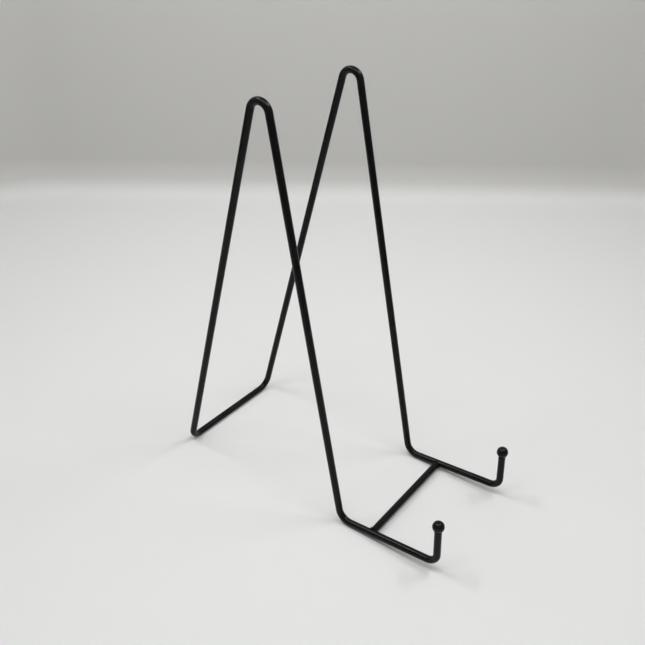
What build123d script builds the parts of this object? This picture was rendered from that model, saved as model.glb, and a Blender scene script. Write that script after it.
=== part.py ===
from build123d import *

# Tabletop stand that holds a photo album upright.
#
# One round steel wire is bent into the whole frame. It starts under the left ball tip, drops down
# the hook, runs back along the toe, climbs the leaning front leg, turns over at the apex and comes
# down the back leg to the floor. There it crosses as the rear bar and returns the same way on the
# right. A short brace rod is welded between the toes, and a steel ball on the end of each hook. The
# finished stand is coated black.
#
# Frame: X runs across the stand (left is -X), -Y is the front, where the hooks are, and +Z is up.
# The origin is on the floor, at the middle of the stand's outer box. All sizes are in millimetres.

import os
from math import cos, radians, sin, sqrt, tan

# ---- Driving dimensions -------------------------------------------------------------------
wire_diameter = 5.2  # over the coat: 5 mm stock and 0.1 mm of powder all round
overall_height = 300.0
frame_width = 100.0  # across the outsides of the wire

front_lean = 11.8  # degrees from upright: the slope that the album leans back on
rear_splay = 14.8  # degrees from upright: the back leg
toe_rise = 4.8  # degrees that the toe climbs from the heel to the hook
hook_lean = 3.0  # degrees from upright, back towards the album

toe_length = 80.0  # heel corner to hook corner, along the toe
hook_length = 33.0  # hook corner to ball centre, along the hook
brace_setback = 27.0  # heel corner to the brace's centre, along the toe

apex_inner_radius = 5.0
heel_inner_radius = 7.0
hook_inner_radius = 5.5
rear_inner_radius = 7.0

brace_diameter = 5.2  # over the coat
brace_sink = 0.4  # how far a brace end is pressed into the toe's round side
ball_diameter = 8.5  # over the coat

brace_bead_radius = 0.75
brace_bead_depth = 0.1  # middle of the bead, beyond the toe's inner side
ball_bead_proud = 0.35  # how far the ball's weld collar stands out from the wire
ball_bead_height = 1.6  # along the wire
ball_bead_drop = 0.55  # from the ball's seat down to the middle of its weld collar

# ---- Sizes that follow --------------------------------------------------------------------
wire_radius = wire_diameter / 2
ball_radius = ball_diameter / 2
side_x = frame_width / 2 - wire_radius  # from the middle to each side's centreline
seat_depth = sqrt(ball_radius**2 - wire_radius**2)  # where the wire's rim meets the ball

apex_radius = apex_inner_radius + wire_radius
heel_radius = heel_inner_radius + wire_radius
hook_radius = hook_inner_radius + wire_radius
rear_radius = rear_inner_radius + wire_radius

lean = radians(front_lean)
splay = radians(rear_splay)
rise = radians(toe_rise)
tilt = radians(hook_lean)


def heel_corner_height():
    """Height of the corner where toe and front leg would cross, with the bend on the floor."""
    half_turn = (radians(90) - lean + rise) / 2
    to_bend_start = heel_radius * tan(half_turn)
    return wire_radius + heel_radius * (1 - cos(rise)) - to_bend_start * sin(rise)


def apex_corner_height():
    """Height of the corner where the legs would cross, with the bend's top at full height."""
    half_angle = (lean + splay) / 2
    skew = (splay - lean) / 2
    bend_centre = overall_height - wire_radius - apex_radius
    return bend_centre + apex_radius / sin(half_angle) * cos(skew)


def corner_heights_and_depths():
    """Corners (y, z) of one side's centreline, with the heel corner at y = 0."""
    heel = (0.0, heel_corner_height())
    hook = (-toe_length * cos(rise), heel[1] + toe_length * sin(rise))
    ball = (hook[0] + hook_length * sin(tilt), hook[1] + hook_length * cos(tilt))
    apex_z = apex_corner_height()
    apex = ((apex_z - heel[1]) * tan(lean), apex_z)
    rear = (apex[0] + (apex_z - wire_radius) * tan(splay), wire_radius)
    brace = (-brace_setback * cos(rise), heel[1] + brace_setback * sin(rise))
    return {"ball": ball, "hook": hook, "heel": heel, "apex": apex, "rear": rear, "brace": brace}


def hook_bend_front():
    """Y of the frontmost point of the hook's bend, with the heel corner at y = 0."""
    half_turn = (radians(90) + tilt - rise) / 2
    to_bend_start = hook_radius * tan(half_turn)
    bend_centre = to_bend_start * cos(rise) + hook_radius * sin(rise)
    return corners["hook"][0] + bend_centre - hook_radius - wire_radius


corners = corner_heights_and_depths()
front_y = min(hook_bend_front(), corners["ball"][0] - ball_radius)
back_y = corners["rear"][0] + wire_radius
middle_y = (front_y + back_y) / 2


def place(name, x):
    """A corner of the side's centreline as a point of the stand, at the given x."""
    y, z = corners[name]
    return Vector(x, y - middle_y, z)


def ball_plane(x):
    """Plane at a ball's centre, at the given x, with its normal up along the hook."""
    centre = place("ball", x)
    return Plane(origin=centre, x_dir=(1, 0, 0), z_dir=centre - place("hook", x))


def wire_end(x):
    """Where the wire stops, at the given x, on the flat seat under the ball."""
    return ball_plane(x).from_local_coords(Vector(0, 0, -seat_depth))


# ---- Pieces -------------------------------------------------------------------------------
def make_frame_wire():
    """The one bent wire that makes both sides and the rear bar."""
    names = ["hook", "heel", "apex", "rear"]
    radii = [hook_radius, heel_radius, apex_radius, rear_radius]
    left = [wire_end(-side_x)] + [place(name, -side_x) for name in names]
    right = [place(name, side_x) for name in reversed(names)] + [wire_end(side_x)]
    path = FilletPolyline(*left, *right, radius=radii + radii[::-1])
    section = Plane(origin=left[0], z_dir=left[1] - left[0]) * Circle(wire_radius)
    return sweep(section, path=path)


def make_cross_brace(wire):
    """Straight rod between the toes, its ends shaped to their round sides."""
    length = 2 * (side_x - wire_radius + brace_sink)
    middle = Plane(origin=place("brace", 0), z_dir=(1, 0, 0))
    return middle * Cylinder(brace_diameter / 2, length) - wire


def make_brace_weld(wire, brace):
    """Bead round the brace's left end that fills the groove against the toe."""
    joint = place("brace", wire_radius - side_x - brace_bead_depth)
    bead = Torus(brace_diameter / 2, brace_bead_radius)
    return Plane(origin=joint, z_dir=(1, 0, 0)) * bead - wire - brace


def make_ball_tip():
    """Left steel ball, with a flat on its underside that sits on the wire's end."""
    below_seat = Pos(0, 0, -seat_depth - ball_radius) * Cylinder(ball_radius, ball_diameter)
    return ball_plane(-side_x) * (Sphere(ball_radius) - below_seat)


def make_ball_weld(wire, ball):
    """Low collar of weld on the wire, close under the left ball."""
    section = Plane.XZ * Ellipse(ball_bead_proud, ball_bead_height / 2)
    collar = revolve(Pos(wire_radius, 0, -seat_depth - ball_bead_drop) * section, axis=Axis.Z)
    return ball_plane(-side_x) * collar - wire - ball


def write(name, shape):
    """Writes one sub-part to its own STEP file and says what it holds."""
    export_step(shape, os.path.join("parts", name + ".step"))
    print(f"{name}: {len(shape.solids())} solid, {shape.volume:.1f} mm3")


def main():
    os.makedirs("parts", exist_ok=True)
    wire = make_frame_wire()
    brace = make_cross_brace(wire)
    write("frame_wire", wire)
    write("cross_brace", brace)
    ball = make_ball_tip()
    paired = {
        "ball_tip": ball,
        "ball_weld": make_ball_weld(wire, ball),
        "brace_weld": make_brace_weld(wire, brace),
    }
    for name, left in paired.items():
        write("left_" + name, left)
        write("right_" + name, mirror(left, about=Plane.YZ))
    for name in corners:
        centre = place(name, side_x)
        print(f"{name} corner: y {centre.Y:.2f}, z {centre.Z:.2f}")
    print(f"depth {back_y - front_y:.2f}, front at y {front_y - middle_y:.2f}")


main()
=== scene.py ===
# %% [markdown]
# # A bent-wire album stand
#
# The real stand is made on a wire bender: one length of round steel wire is fed and bent eight times,
# a short rod is welded between its two toes, a steel ball is welded on each hook, and the whole thing
# is powder coated satin black. This notebook makes it the same way, piece by piece, around the packed
# CAD frame. The frame holds the sizes, so every place below is read from it or worked out from it.

import math

import bmesh
import bpy
from mathutils import Matrix, Quaternion, Vector, noise


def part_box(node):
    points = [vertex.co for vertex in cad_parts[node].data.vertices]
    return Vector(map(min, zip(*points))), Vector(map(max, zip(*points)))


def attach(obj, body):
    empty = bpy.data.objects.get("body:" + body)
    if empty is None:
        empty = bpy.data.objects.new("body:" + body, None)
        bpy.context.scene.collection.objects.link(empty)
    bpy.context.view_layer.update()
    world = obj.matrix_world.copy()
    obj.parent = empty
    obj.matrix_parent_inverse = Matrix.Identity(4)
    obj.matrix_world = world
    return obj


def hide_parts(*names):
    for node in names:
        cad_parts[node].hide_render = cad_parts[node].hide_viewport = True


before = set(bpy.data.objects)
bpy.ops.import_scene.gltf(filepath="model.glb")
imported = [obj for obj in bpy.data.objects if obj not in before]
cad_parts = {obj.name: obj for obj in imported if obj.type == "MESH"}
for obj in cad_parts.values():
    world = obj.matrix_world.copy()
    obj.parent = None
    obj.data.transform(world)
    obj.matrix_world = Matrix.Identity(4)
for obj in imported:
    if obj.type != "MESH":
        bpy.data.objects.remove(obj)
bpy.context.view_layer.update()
MM = 0.001  # one millimetre, in Blender's metres
print("CAD solids:", len(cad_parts))

# %% [markdown]
# ## The bending sheet
#
# A wire bender works from a short sheet of angles, feeds and mandrel sizes. Angles can't be read off a
# box, so they are repeated here, and everything that a box can give is read from it: the wire's
# diameter is the brace's thickness, the side's place comes from the frame's width, and the rear bar
# fixes where the whole path lies from front to back.

# %% Angles, feeds and mandrels
FRONT_LEAN = math.radians(11.8)  # front leg from upright
REAR_SPLAY = math.radians(14.8)  # back leg from upright
TOE_RISE = math.radians(4.8)  # toe from level, climbing to the hook
HOOK_LEAN = math.radians(3.0)  # hook from upright, back towards the album
TOE_LENGTH = 80.0 * MM
HOOK_LENGTH = 33.0 * MM
INNER_RADIUS = {"hook": 5.5 * MM, "heel": 7.0 * MM, "apex": 5.0 * MM, "rear": 7.0 * MM}

wire_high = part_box("frame_wire")[1]
brace_low, brace_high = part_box("cross_brace")
ball_low, ball_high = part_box("left_ball_tip")

wire_radius = round((brace_high.z - brace_low.z) / 2, 5)
ball_radius = round((ball_high.x - ball_low.x) / 2, 5)
side_x = round(wire_high.x, 5) - wire_radius
height = round(wire_high.z, 4)
rear_y = round(wire_high.y, 5) - wire_radius
bend_radius = {name: inner + wire_radius for name, inner in INNER_RADIUS.items()}
print(f"wire {2 * wire_radius / MM:.2f} mm, ball {2 * ball_radius / MM:.2f} mm")
print(f"height {height / MM:.1f} mm, {2 * side_x / MM:.1f} mm between the sides' centrelines")

# %% [markdown]
# ## Corners of one side
#
# Each side of the stand is flat, so its shape is a few corners in height and depth. A bend never
# reaches its corner: the apex's corner stands well above the finished stand, because the legs meet at
# a narrow angle. So the two corners that touch something, the heel on the floor and the apex at full
# height, are worked out from their bends.

# %% Work out the corners
QUARTER_TURN = math.radians(90)

half_turn = (QUARTER_TURN - FRONT_LEAN + TOE_RISE) / 2
heel_lift = 1 - math.cos(TOE_RISE) - math.tan(half_turn) * math.sin(TOE_RISE)
heel_z = wire_radius + bend_radius["heel"] * heel_lift
half_apex = (FRONT_LEAN + REAR_SPLAY) / 2
skew = (REAR_SPLAY - FRONT_LEAN) / 2
apex_centre_z = height - wire_radius - bend_radius["apex"]
apex_z = apex_centre_z + bend_radius["apex"] / math.sin(half_apex) * math.cos(skew)
apex_y = rear_y - (apex_z - wire_radius) * math.tan(REAR_SPLAY)
heel_y = apex_y - (apex_z - heel_z) * math.tan(FRONT_LEAN)
hook_y = heel_y - TOE_LENGTH * math.cos(TOE_RISE)
hook_z = heel_z + TOE_LENGTH * math.sin(TOE_RISE)
ball_y = hook_y + HOOK_LENGTH * math.sin(HOOK_LEAN)
ball_z = hook_z + HOOK_LENGTH * math.cos(HOOK_LEAN)
corners = {
    "ball": Vector((0, ball_y, ball_z)),
    "hook": Vector((0, hook_y, hook_z)),
    "heel": Vector((0, heel_y, heel_z)),
    "apex": Vector((0, apex_y, apex_z)),
    "rear": Vector((0, rear_y, wire_radius)),
}
cad_ball = Vector((0, (ball_low.y + ball_high.y) / 2, ball_high.z - ball_radius))
print(f"ball centre is {(corners['ball'] - cad_ball).length / MM:.3f} mm from the CAD ball's")

# %% [markdown]
# ## One finish, written as sums
#
# A material is a set of nodes, and most of them are small sums. The class below holds one output
# socket and lets a sum on it be written as a sum, so `1 - mask` adds its own Math node. Any other node
# comes from its one method, which takes the node's type, its settings and what goes into it.


# %% A socket that does sums
class Signal:
    """One output socket of a material's node tree."""

    def __init__(self, socket):
        self.socket = socket

    def node(self, kind, settings=None, inputs=None, output=0):
        """Adds a node beside this one: settings first, then each input's value or link."""
        tree = self.socket.id_data
        made = tree.nodes.new(kind)
        for name, value in (settings or {}).items():
            setattr(made, name, value)
        for name, value in (inputs or {}).items():
            if isinstance(value, Signal):
                tree.links.new(value.socket, made.inputs[name])
            else:
                made.inputs[name].default_value = value
        return Signal(made.outputs[output])

    def math(self, operation, first, second):
        return self.node("ShaderNodeMath", {"operation": operation}, {0: first, 1: second})

    def __add__(self, other):
        return self.math("ADD", self, other)

    def __sub__(self, other):
        return self.math("SUBTRACT", self, other)

    def __rsub__(self, other):
        return self.math("SUBTRACT", other, self)

    def __mul__(self, other):
        return self.math("MULTIPLY", self, other)

    __radd__ = __add__
    __rmul__ = __mul__


def speckle(place, size, detail=2.0):
    """Soft random grey from 0 to 1, with blobs of about this size in metres."""
    inputs = {"Vector": place, "Scale": 1 / size, "Detail": detail}
    return place.node("ShaderNodeTexNoise", inputs=inputs)


def fade(value, start, end):
    """0 up to start, 1 past end, and a smooth slope between. Start may be the larger."""
    inputs = {"Value": value, "From Min": start, "From Max": end}
    return value.node("ShaderNodeMapRange", {"interpolation_type": "SMOOTHSTEP"}, inputs)


def blend_colour(mask, low, high):
    """Colour low where the mask is 0, high where it is 1."""
    inputs = {"Factor": mask, "A": low, "B": high}
    return mask.node("ShaderNodeMix", {"data_type": "RGBA"}, inputs, output=2)


def height_of(place):
    """How high a place is above the table, in metres."""
    return place.node("ShaderNodeSeparateXYZ", inputs={0: place}, output=2)


# %% [markdown]
# ## Satin black powder coat
#
# Powder melts into a skin about 0.1 mm thick. It is almost black, never quite mirror smooth, and it
# keeps a fine orange peel: shallow waves a little under a millimetre across, with a finer grain on
# top. Two sizes of speckle, added into one bump, give that. The skin is also a touch duller on some
# stretches than others, so roughness and colour drift slowly along the wire. Where the stand touches
# the table, the skin is rubbed in patches: a bit lighter and smoother.

# %% The coat
COAT_BLACK = (0.0022, 0.0022, 0.0024, 1)
COAT_GREY = (0.0050, 0.0048, 0.0046, 1)
RUBBED_GREY = (0.018, 0.018, 0.019, 1)
COAT_IOR = 1.5
DRIFT_SIZE = 14 * MM
DRIFT_EDGES = (0.35, 0.65)  # speckle at which the drift begins and is full
PEEL_SIZE = 0.75 * MM
GRAIN_SIZE = 0.22 * MM
GRAIN_SHARE = 0.2  # of the bump; orange peel is the rest
RUB_SIZE = 1.2 * MM
RUB_EDGES = (0.45, 0.6)
RUB_TOP = 0.35 * MM  # above the table, where the rubbing ends
RUB_FULL = 0.1 * MM  # above the table, below which it is at its strongest
DRIFT_DULLS = 0.07  # how much roughness the drift adds where it is full
GRAIN_DULLS = 0.08
RUB_POLISHES = 0.1


def powder_coat(name, peel_height, roughness, shine):
    """The stand's one finish. Welds and balls take the powder a little differently from the wire."""
    material = bpy.data.materials.new(name)
    material.use_nodes = True
    tree = material.node_tree
    shader = tree.nodes["Principled BSDF"]
    shader.inputs["IOR"].default_value = COAT_IOR
    shader.inputs["Specular IOR Level"].default_value = shine

    place = Signal(tree.nodes.new("ShaderNodeTexCoord").outputs["Object"])
    drift = fade(speckle(place, DRIFT_SIZE), *DRIFT_EDGES)
    grain = speckle(place, GRAIN_SIZE, detail=3)
    peel = speckle(place, PEEL_SIZE)
    near_table = fade(height_of(place), RUB_TOP, RUB_FULL)
    rubbed = near_table * fade(speckle(place, RUB_SIZE), *RUB_EDGES)

    coat = blend_colour(drift, COAT_BLACK, COAT_GREY)
    colour = blend_colour(rubbed, coat, RUBBED_GREY)
    dulled = roughness + DRIFT_DULLS * drift + GRAIN_DULLS * (grain - 0.5)
    rough = dulled - RUB_POLISHES * rubbed
    surface = peel * (1 - GRAIN_SHARE) + grain * GRAIN_SHARE
    bump_inputs = {"Height": surface, "Strength": 1.0, "Distance": peel_height}
    skin = surface.node("ShaderNodeBump", inputs=bump_inputs)
    tree.links.new(colour.socket, shader.inputs["Base Color"])
    tree.links.new(rough.socket, shader.inputs["Roughness"])
    tree.links.new(skin.socket, shader.inputs["Normal"])
    return material


wire_coat = powder_coat("satin_black_wire", 0.03 * MM, roughness=0.20, shine=0.17)
ball_coat = powder_coat("satin_black_ball", 0.04 * MM, roughness=0.17, shine=0.18)
weld_coat = powder_coat("satin_black_weld", 0.12 * MM, roughness=0.34, shine=0.09)
print("finishes:", [m.name for m in (wire_coat, ball_coat, weld_coat)])

# %% [markdown]
# ## Turning mesh work into a piece
#
# Every piece ends the same way: faces turned outwards, smooth shading with real edges kept crisp, a
# finish, and its place in the stand. The mesh already lies where the piece goes, so the object itself
# stays at the origin.

# %% Finish a piece
CRISP_EDGE = math.radians(40)


def finish_piece(name, mesh, material, node):
    """Makes the shown piece that stands for a CAD node."""
    bmesh.ops.recalc_face_normals(mesh, faces=mesh.faces)
    data = bpy.data.meshes.new(name)
    mesh.to_mesh(data)
    mesh.free()
    data.shade_smooth()
    data.set_sharp_from_angle(angle=CRISP_EDGE)
    data.materials.append(material)
    piece = bpy.data.objects.new(name, data)
    bpy.context.scene.collection.objects.link(piece)
    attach(piece, "root")
    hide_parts(node)
    print(f"{name}: {len(data.vertices)} points, {len(data.polygons)} faces")


# %% [markdown]
# ## Feeding and bending the wire
#
# A curve with a round bevel would give a wire too, but it rounds corners by feel. The spin tool does
# what the bender does: with an angle it swings the wire's end ring round a mandrel, and with no angle
# and a push per step it feeds the wire straight on. So one ring, started at the left ball's seat, is
# fed and bent until it arrives at the right one. Each step leaves a ring of faces behind, so a step is
# short enough to look round in a bend and long on a straight.

# %% The wire bender
WIRE_SIDES = 48
SKIN = 0.005 * MM  # the shown wire lies this much inside the CAD wire
FEED_STEP = 8 * MM
BEND_STEP = math.radians(4)


def closed_ring(mesh, radius, sides, matrix):
    """A circle's points and edges, ready to be spun into a surface."""
    made = bmesh.ops.create_circle(mesh, radius=radius, segments=sides, matrix=matrix)
    return made["verts"] + list({edge for vert in made["verts"] for edge in vert.link_edges})


def start_ring(mesh, centre, heading, radius):
    """The wire's first ring, square to its heading."""
    aim = heading.to_track_quat("Z", "X").to_matrix().to_4x4()
    return closed_ring(mesh, radius, WIRE_SIDES, Matrix.Translation(centre) @ aim)


def feed(mesh, ring, heading, length):
    """Pushes the ring straight on and leaves wire behind it."""
    steps = max(1, round(length / FEED_STEP))
    push = heading * (length / steps)
    made = bmesh.ops.spin(mesh, geom=ring, axis=heading, dvec=push, steps=steps)
    return made["geom_last"]


def bend(mesh, ring, centre, axis, angle):
    """Swings the ring round a mandrel at the centre."""
    steps = max(2, round(angle / BEND_STEP))
    made = bmesh.ops.spin(mesh, geom=ring, cent=centre, axis=axis, angle=angle, steps=steps)
    return made["geom_last"]


def close_ends(mesh):
    """Caps each open end with a face."""
    open_edges = [edge for edge in mesh.edges if edge.is_boundary]
    bmesh.ops.holes_fill(mesh, edges=open_edges, sides=0)


# %% [markdown]
# ## The frame wire
#
# The route is the left side's corners from the ball down and over to the floor, then the right side's
# in the opposite order. The wire stops short of each ball's centre, where its rim meets the ball. The
# printed lines are a real bending sheet: how far to feed, then how far to bend and round what radius.

# %% Bend the frame wire
seat_depth = math.sqrt(ball_radius**2 - wire_radius**2)
up_hook = (corners["ball"] - corners["hook"]).normalized()
left = Vector((-side_x, 0, 0))
right = Vector((side_x, 0, 0))
bent = ["hook", "heel", "apex", "rear"]
wire_end = corners["ball"] - up_hook * seat_depth
route = [left + wire_end] + [left + corners[name] for name in bent]
route += [right + corners[name] for name in reversed(bent)] + [right + wire_end]
turns = bent + bent[::-1]

wire = bmesh.new()
here = route[0]
heading = (route[1] - here).normalized()
ring = start_ring(wire, here, heading, wire_radius - SKIN)
for name, corner, beyond in zip(turns, route[1:], route[2:]):
    onward = (beyond - corner).normalized()
    angle = heading.angle(onward)
    radius = bend_radius[name]
    run = (corner - here).length - radius * math.tan(angle / 2)
    ring = feed(wire, ring, heading, run)
    here = here + heading * run
    inward = (onward - heading * heading.dot(onward)).normalized()
    centre = here + inward * radius
    axis = heading.cross(onward).normalized()
    ring = bend(wire, ring, centre, axis, angle)
    here = centre + Quaternion(axis, angle) @ (here - centre)
    heading = onward
    print(f"feed {run / MM:6.1f} mm, bend {math.degrees(angle):6.1f} degrees", end=" ")
    print(f"at {radius / MM:.1f} mm for the {name}")
last_run = (route[-1] - here).length
ring = feed(wire, ring, heading, last_run)
print(f"feed {last_run / MM:6.1f} mm to the other ball")
close_ends(wire)
finish_piece("bent_frame_wire", wire, wire_coat, "frame_wire")

# %% [markdown]
# ## The cross brace
#
# A straight rod lies between the toes, level with them. Its ends are pressed a little into the toes'
# round sides as the weld closes, so each end has a slight hollow that follows the toe. The rod is one
# ring fed straight across. Each end face is inset, which gives it points away from its rim, and then
# every point that would lie inside the toe is drawn back to the toe's surface.

# %% Make the brace
CAP_INSET = 0.45  # of the wire's radius, from the rim of an end face to its inner points

toe_line = (corners["heel"] - corners["hook"]).normalized()
brace_centre = (brace_low + brace_high) / 2
brace_reach = round(brace_high.x, 5)


def toe_side(point):
    """How far from the middle the toe's inner side is, level with this point."""
    across = (point - brace_centre) - toe_line * (point - brace_centre).dot(toe_line)
    level = min(across.yz.length, wire_radius)
    return side_x - math.sqrt(wire_radius**2 - level**2)


brace = bmesh.new()
across_stand = Vector((1, 0, 0))
brace_start = brace_centre - across_stand * brace_reach
ring = start_ring(brace, brace_start, across_stand, wire_radius)
feed(brace, ring, across_stand, 2 * brace_reach)
close_ends(brace)
caps = [face for face in brace.faces if len(face.verts) == WIRE_SIDES]
bmesh.ops.inset_individual(brace, faces=caps, thickness=wire_radius * CAP_INSET)
for vert in brace.verts:
    limit = toe_side(vert.co)
    if abs(vert.co.x) > limit:
        vert.co.x = math.copysign(limit, vert.co.x)
finish_piece("welded_brace", brace, wire_coat, "cross_brace")
print(f"brace {2 * brace_reach / MM:.1f} mm over its ends")

# %% [markdown]
# ## Ball tips
#
# Each tip is a plain steel ball with one small flat, where it sits on the end of the wire. A ball
# starts as a sphere, a cut takes off the cap below the seat, and the hole is closed again. Powder
# gathers unevenly on a ball, so its surface is drawn in here and there by a few hundredths of a
# millimetre, never outwards.

# %% Make a ball tip
BALL_UNEVEN = 0.05 * MM
UNEVEN_SIZE = 2.2 * MM
BALL_AROUND = 72
BALL_UP = 48


def hook_frame(side):
    """Places things that are drawn round the ball's centre, with up along the hook."""
    place = Matrix.Translation(side + corners["ball"])
    return place @ Matrix.Rotation(-HOOK_LEAN, 4, "X")


def ball_tip(name, side, node):
    """A ball with its flat, on the end of one hook."""
    ball = bmesh.new()
    segments = {"u_segments": BALL_AROUND, "v_segments": BALL_UP}
    bmesh.ops.create_uvsphere(ball, radius=ball_radius, **segments)
    for vert in ball.verts:
        lump = noise.noise(vert.co / UNEVEN_SIZE + side / MM)
        vert.co -= vert.co.normalized() * BALL_UNEVEN * (0.5 + 0.5 * lump)
    whole = ball.verts[:] + ball.edges[:] + ball.faces[:]
    seat = Vector((0, 0, -seat_depth))
    flat = {"plane_co": seat, "plane_no": (0, 0, 1)}
    bmesh.ops.bisect_plane(ball, geom=whole, clear_inner=True, **flat)
    close_ends(ball)
    bmesh.ops.transform(ball, matrix=hook_frame(side), verts=ball.verts)
    finish_piece(name, ball, ball_coat, node)


ball_tip("ball_tip_left", left, "left_ball_tip")
ball_tip("ball_tip_right", right, "right_ball_tip")

# %% [markdown]
# ## Weld beads
#
# A weld bead is a ring of metal that froze while it flowed: it has ripples, and no two stretches are
# equally thick. A small closed profile spun right round makes the ring, and then every point is drawn
# towards the bead's own centreline by a mix of even ripples and random lumps. The brace's beads are
# round in section and lie in the groove against the toe. The balls' beads are low collars, taller
# than they are thick, with gaps bitten out of them.

# %% Lay the beads
BEAD_SIDES = 24
BEAD_STEPS = 144
LUMP_SHARE = 0.7  # of the unevenness; even ripples are the rest
FULL_TURN = math.radians(360)
COLLAR_HEIGHT = 1.6 * MM  # of the weld collar under each ball
COLLAR_DROP = 0.55 * MM  # from the ball's seat down to the collar's middle
BRACE_BEAD = {"lump_size": 1.0 * MM, "ripples": 13, "depth": 0.4}
BALL_COLLAR = {"lump_size": 0.8 * MM, "ripples": 9, "depth": 0.75}


def weld_bead(name, node, place, proud, tall, lump_size, ripples, depth):
    """A rippled ring round the wire, along the local Z axis, put in place by a matrix."""
    bead = bmesh.new()
    out_to_skin = Matrix.Translation((wire_radius, 0, 0))
    upright = Matrix.Rotation(QUARTER_TURN, 4, "X") @ Matrix.Diagonal((proud, tall, 1, 1))
    profile = closed_ring(bead, 1, BEAD_SIDES, out_to_skin @ upright)
    once_round = {"axis": (0, 0, 1), "angle": FULL_TURN, "steps": BEAD_STEPS}
    bmesh.ops.spin(bead, geom=profile, use_merge=True, **once_round)
    seed = place.to_translation() / MM
    for vert in bead.verts:
        around = math.atan2(vert.co.y, vert.co.x)
        core = Vector((math.cos(around), math.sin(around), 0)) * wire_radius
        ripple = 0.5 + 0.5 * math.sin(ripples * around)
        lump = 0.5 + 0.5 * noise.noise(vert.co / lump_size + seed)
        uneven = (1 - LUMP_SHARE) * ripple + LUMP_SHARE * lump
        vert.co = core + (vert.co - core) * (1 - depth * uneven)
    bmesh.ops.transform(bead, matrix=place, verts=bead.verts)
    finish_piece(name, bead, weld_coat, node)


for word, side in (("left", left), ("right", right)):
    bead_low, bead_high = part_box(word + "_brace_weld")
    bead_radius = (bead_high.z - bead_low.z) / 2 - wire_radius
    across = Matrix.Rotation(QUARTER_TURN, 4, "Y")
    joint = Matrix.Translation((bead_low + bead_high) / 2) @ across
    size = {"proud": bead_radius, "tall": bead_radius}
    weld_bead("brace_bead_" + word, word + "_brace_weld", joint, **size, **BRACE_BEAD)

    collar_low, collar_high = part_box(word + "_ball_weld")
    collar_proud = (collar_high.x - collar_low.x) / 2 - wire_radius
    below_seat = Matrix.Translation((0, 0, -seat_depth - COLLAR_DROP))
    collar = hook_frame(side) @ below_seat
    size = {"proud": collar_proud, "tall": COLLAR_HEIGHT / 2}
    weld_bead("ball_collar_" + word, word + "_ball_weld", collar, **size, **BALL_COLLAR)

# %% [markdown]
# ## The set
#
# The stand is shown in an open-topped booth, like the ones used for small goods: a pale floor that
# curves up into a plain grey wall on every side, so no corner or seam shows behind it. It is a box
# without its lid, turned to face the camera, so the camera's turn is needed here already. A wide
# bevel rounds its upright corners, and a smaller one the edge round its floor.

# %% Build the booth
CAMERA_TURN = math.radians(53.665)  # from +Y towards +X
BOOTH_HALF = 0.575  # metres from the middle to a wall
BOOTH_HEIGHT = 0.95
COVE_RADIUS = 0.045
CORNER_RADIUS = 0.2
COVE_STEPS = 16
CORNER_STEPS = 24

turn_to_camera = Matrix.Rotation(-CAMERA_TURN, 4, "Z")
booth_mesh = bmesh.new()
stretch = Matrix.Diagonal((2 * BOOTH_HALF, 2 * BOOTH_HALF, BOOTH_HEIGHT, 1))
floor_at_zero = Matrix.Translation((0, 0, BOOTH_HEIGHT / 2))
bmesh.ops.create_cube(booth_mesh, size=1, matrix=floor_at_zero @ stretch)
lid = [face for face in booth_mesh.faces if face.normal.z > 0.5]
bmesh.ops.delete(booth_mesh, geom=lid, context="FACES")


def round_off(edges, radius, segments):
    """Rounds the booth's edges with an arc of this radius."""
    bmesh.ops.bevel(
        booth_mesh,
        geom=edges,
        offset=radius,
        offset_type="OFFSET",
        segments=segments,
        profile=0.5,
        affect="EDGES",
        material=-1,
    )


def low_ends(edge):
    """How many of an edge's two ends are at the floor."""
    return sum(vert.co.z < COVE_RADIUS for vert in edge.verts)


upright_edges = [edge for edge in booth_mesh.edges if low_ends(edge) == 1]
round_off(upright_edges, CORNER_RADIUS, CORNER_STEPS)
floor_edges = [edge for edge in booth_mesh.edges if low_ends(edge) == 2]
round_off(floor_edges, COVE_RADIUS, COVE_STEPS)
bmesh.ops.transform(booth_mesh, matrix=turn_to_camera, verts=booth_mesh.verts)
bmesh.ops.recalc_face_normals(booth_mesh, faces=booth_mesh.faces)
bmesh.ops.reverse_faces(booth_mesh, faces=booth_mesh.faces)
booth_data = bpy.data.meshes.new("booth")
booth_mesh.to_mesh(booth_data)
booth_mesh.free()
booth_data.shade_smooth()
booth = bpy.data.objects.new("booth", booth_data)
bpy.context.scene.collection.objects.link(booth)
print(f"booth {2 * BOOTH_HALF} m wide, {BOOTH_HEIGHT} m high, {len(booth_data.polygons)} faces")

# %% [markdown]
# ## Booth paint
#
# The floor is matt white board and the walls are the same board in grey: light behind the stand, and
# darker on the camera's side, so that the black wire has something dark to reflect. The change from
# floor to wall is hidden in the curve between them.

# %% Paint the booth
FLOOR_WHITE = (0.75, 0.755, 0.75, 1)
BACK_WALL_GREY = (0.567, 0.562, 0.548, 1)
FRONT_WALL_GREY = (0.30, 0.30, 0.295, 1)
BOARD_ROUGHNESS = 0.75
BOARD_SHINE = 0.2

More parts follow.
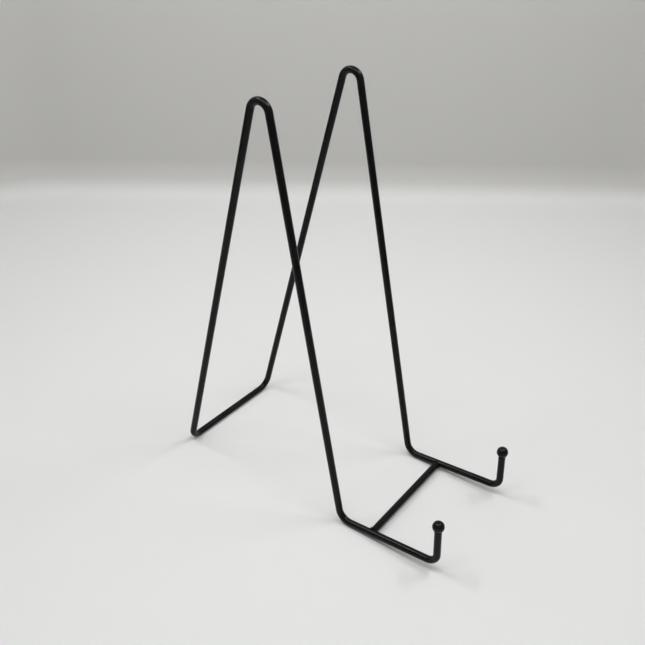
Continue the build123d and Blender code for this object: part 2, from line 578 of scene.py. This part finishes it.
paint = bpy.data.materials.new("booth_board")
paint.use_nodes = True
paint_tree = paint.node_tree
paint_shader = paint_tree.nodes["Principled BSDF"]
paint_shader.inputs["Roughness"].default_value = BOARD_ROUGHNESS
paint_shader.inputs["Specular IOR Level"].default_value = BOARD_SHINE
booth_place = Signal(paint_tree.nodes.new("ShaderNodeTexCoord").outputs["Object"])
towards_back = tuple(turn_to_camera @ Vector((0, 1, 0)))
dot_inputs = {0: booth_place, 1: towards_back}
depth = booth_place.node("ShaderNodeVectorMath", {"operation": "DOT_PRODUCT"}, dot_inputs, output=1)
wall = blend_colour(fade(depth, -BOOTH_HALF, BOOTH_HALF), FRONT_WALL_GREY, BACK_WALL_GREY)
board = blend_colour(fade(height_of(booth_place), 0.0, COVE_RADIUS / 2), FLOOR_WHITE, wall)
paint_tree.links.new(board.socket, paint_shader.inputs["Base Color"])
booth_data.materials.append(paint)
print(f"floor turns into wall within {COVE_RADIUS / 2 / MM:.1f} mm of height")

# %% [markdown]
# ## Light
#
# Three soft panels hang over the booth. The widest is almost overhead, a little towards the camera: it
# draws the soft line of light along the top of each round black wire, and keeps the shadows under the
# wire. A small one on each side throws a faint streak of shadow the other way. The sky fills in the
# rest.

# %% Hang the panels
TOP_PANEL = {"width": 1.25, "length": 0.3, "power": 6.5}  # metres and watts
SIDE_PANEL = {"width": 0.22, "length": 0.42, "power": 6.0}
SIDE_REACH = 0.66  # metres from the middle to a side panel
PANEL_AIM = Vector((0, 0, 0.1))
SKY_WHITE = (1.0, 1.0, 0.99, 1)
SKY_STRENGTH = 0.15


def panel(name, sideways, forward, up, width, length, power):
    """A soft panel placed as the camera sees the booth, and aimed at the stand."""
    light = bpy.data.lights.new(name, "AREA")
    light.shape = "RECTANGLE"
    light.size = width
    light.size_y = length
    light.energy = power
    lamp = bpy.data.objects.new(name, light)
    bpy.context.scene.collection.objects.link(lamp)
    lamp.location = turn_to_camera @ Vector((sideways, forward, up))
    away = (lamp.location - PANEL_AIM).normalized()
    along = away.cross(turn_to_camera @ Vector((1, 0, 0))).normalized()
    axes = Matrix((along.cross(away), along, away)).transposed()
    lamp.rotation_euler = axes.to_euler()
    print(f"{name}: {lamp.location.length:.2f} m from the stand, {power} W")


panel("panel_top", 0.0, forward=-0.3, up=1.17, **TOP_PANEL)
for name, sideways in (("panel_left", -SIDE_REACH), ("panel_right", SIDE_REACH)):
    panel(name, sideways, forward=0.14, up=1.12, **SIDE_PANEL)

world = bpy.data.worlds.new("room")
world.use_nodes = True
sky = world.node_tree.nodes["Background"]
sky.inputs["Color"].default_value = SKY_WHITE
sky.inputs["Strength"].default_value = SKY_STRENGTH
bpy.context.scene.world = world
bpy.context.scene.view_settings.view_transform = "Standard"

# %% [markdown]
# ## Camera
#
# The camera looks down at the stand from its front left, near enough for some perspective. It turns
# from +Y towards +X, dips, and rolls less than a degree. A camera starts out looking straight down,
# so a dip of 90 degrees would leave it as it is.

# %% Set up the camera
CAMERA_DIP = math.radians(31.261)  # below level
CAMERA_ROLL = math.radians(0.809)
CAMERA_PLACE = Vector((-406.6, -280.8, 433.8)) * MM
LENS = 45.26  # millimetres
SENSOR_WIDTH = 36.0  # millimetres

camera_data = bpy.data.cameras.new("camera")
camera_data.sensor_width = SENSOR_WIDTH
camera_data.lens = LENS
camera = bpy.data.objects.new("camera", camera_data)
bpy.context.scene.collection.objects.link(camera)
camera.location = CAMERA_PLACE
dip = Matrix.Rotation(QUARTER_TURN - CAMERA_DIP, 4, "X")
roll = Matrix.Rotation(CAMERA_ROLL, 4, "Z")
camera.rotation_euler = (turn_to_camera @ dip @ roll).to_euler()
bpy.context.scene.camera = camera
print(f"camera {CAMERA_PLACE.length / MM:.0f} mm from the stand's origin")
